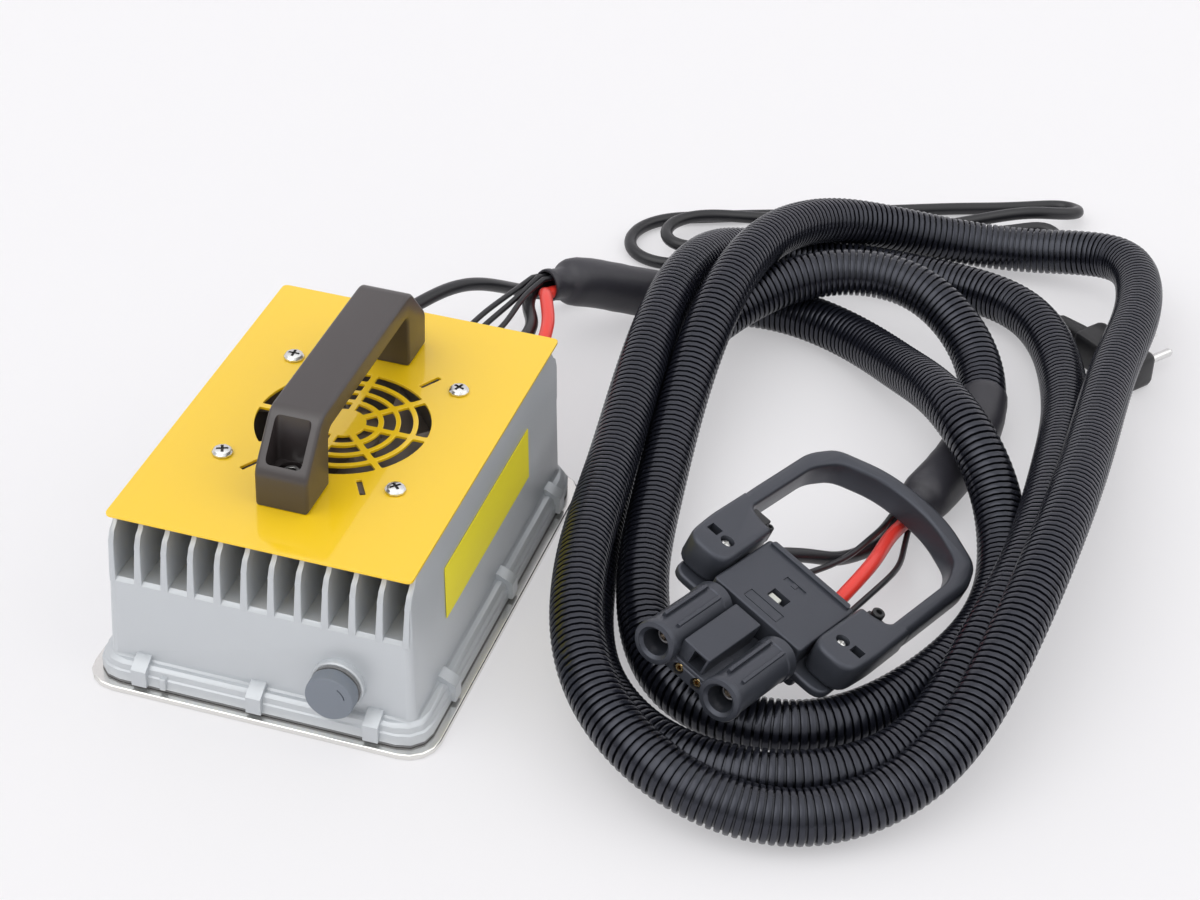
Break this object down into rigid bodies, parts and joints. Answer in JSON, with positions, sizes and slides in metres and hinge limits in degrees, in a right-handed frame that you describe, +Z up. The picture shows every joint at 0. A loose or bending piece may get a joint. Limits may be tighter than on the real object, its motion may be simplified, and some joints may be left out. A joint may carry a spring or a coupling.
{
  "type": "forklift battery charger",
  "caption": "Finned battery charger with a top grille, a fan and a bridge handle, a long corrugated output loom to a charging connector, and a mains cord with a plug.",
  "frame": {"origin": "centre of the base plate's underside, on the surface that the charger stands on", "axes": "+X to the right along the front face, +Y to the back where the cords leave, +Z up"},
  "size_m": [0.431, 0.5901, 0.1298],
  "materials": {
    "cast_housing": "die-cast, fine grain, satin",
    "base_sheet": "bright sheet",
    "seal_rubber": "matt",
    "screw_steel": "zinc plated",
    "cover_paint": "yellow powder coat, satin",
    "charcoal_plastic": "moulded, fine texture",
    "fan_metal": "cast, bright",
    "fan_plastic": "moulded",
    "vent_plastic": "moulded, satin",
    "label_film": "printed film without print",
    "board_green": "solder mask",
    "core_iron": "dark",
    "copper": null,
    "capacitor_sleeve": "sleeve",
    "conduit_black": "corrugated, semi-gloss",
    "cord_black": "satin sheath",
    "cord_red": "satin sheath",
    "key_pale": "moulded",
    "contact_silver": "silver plated",
    "contact_brass": "bright"
  },
  "bodies": {
    "charger": {"housing": "cast_housing", "base_plate": "base_sheet", "base_gasket": "seal_rubber", "vent_seal": "seal_rubber", "red_lead_bush": "seal_rubber", "black_lead_bush": "seal_rubber", "wire_grommet": "seal_rubber", "base_screw_1": "screw_steel", "base_screw_2": "screw_steel", "base_screw_3": "screw_steel", "base_screw_4": "screw_steel", "base_screw_5": "screw_steel", "base_screw_6": "screw_steel", "cover_screw_1": "screw_steel", "cover_screw_2": "screw_steel", "cover_screw_3": "screw_steel", "cover_screw_4": "screw_steel", "handle_screw_1": "screw_steel", "handle_screw_2": "screw_steel", "connector_screw_1": "screw_steel", "connector_screw_2": "screw_steel", "plug_pin_earth": "screw_steel", "plug_pin_1": "screw_steel", "plug_pin_2": "screw_steel", "top_cover": "cover_paint", "bridge_handle": "charcoal_plastic", "mains_gland": "charcoal_plastic", "mains_plug": "charcoal_plastic", "connector_base": "charcoal_plastic", "connector_shell": "charcoal_plastic", "connector_handle": "charcoal_plastic", "fan_frame": "fan_metal", "vent_plug": "vent_plastic", "side_label": "label_film", "circuit_board": "board_green", "transformer_core": "core_iron", "transformer_winding": "copper", "capacitor_1": "capacitor_sleeve", "capacitor_2": "capacitor_sleeve", "heat_bar": "base_sheet", "loom_boot_charger": "cord_black", "loom_boot_connector": "cord_black", "rear_lead_black": "cord_black", "rear_wire_1": "cord_black", "rear_wire_2": "cord_black", "rear_wire_3": "cord_black", "front_lead_black": "cord_black", "front_wire_1": "cord_black", "front_wire_2": "cord_black", "mains_cord": "cord_black", "loom_conduit": "conduit_black", "rear_lead_red": "cord_red", "front_lead_red": "cord_red", "coding_key": "key_pale", "main_contact_1": "contact_silver", "main_contact_2": "contact_silver", "aux_contact_1": "contact_brass", "aux_contact_2": "contact_brass"},
    "fan": {"fan_rotor": "fan_plastic"}
  },
  "joints": [
    {"name": "fan_spin", "type": "hinge", "parent": "charger", "child": "fan", "pos_m": [0, 0, 0.075], "axis": [0, 0, 1], "continuous": true}
  ]
}
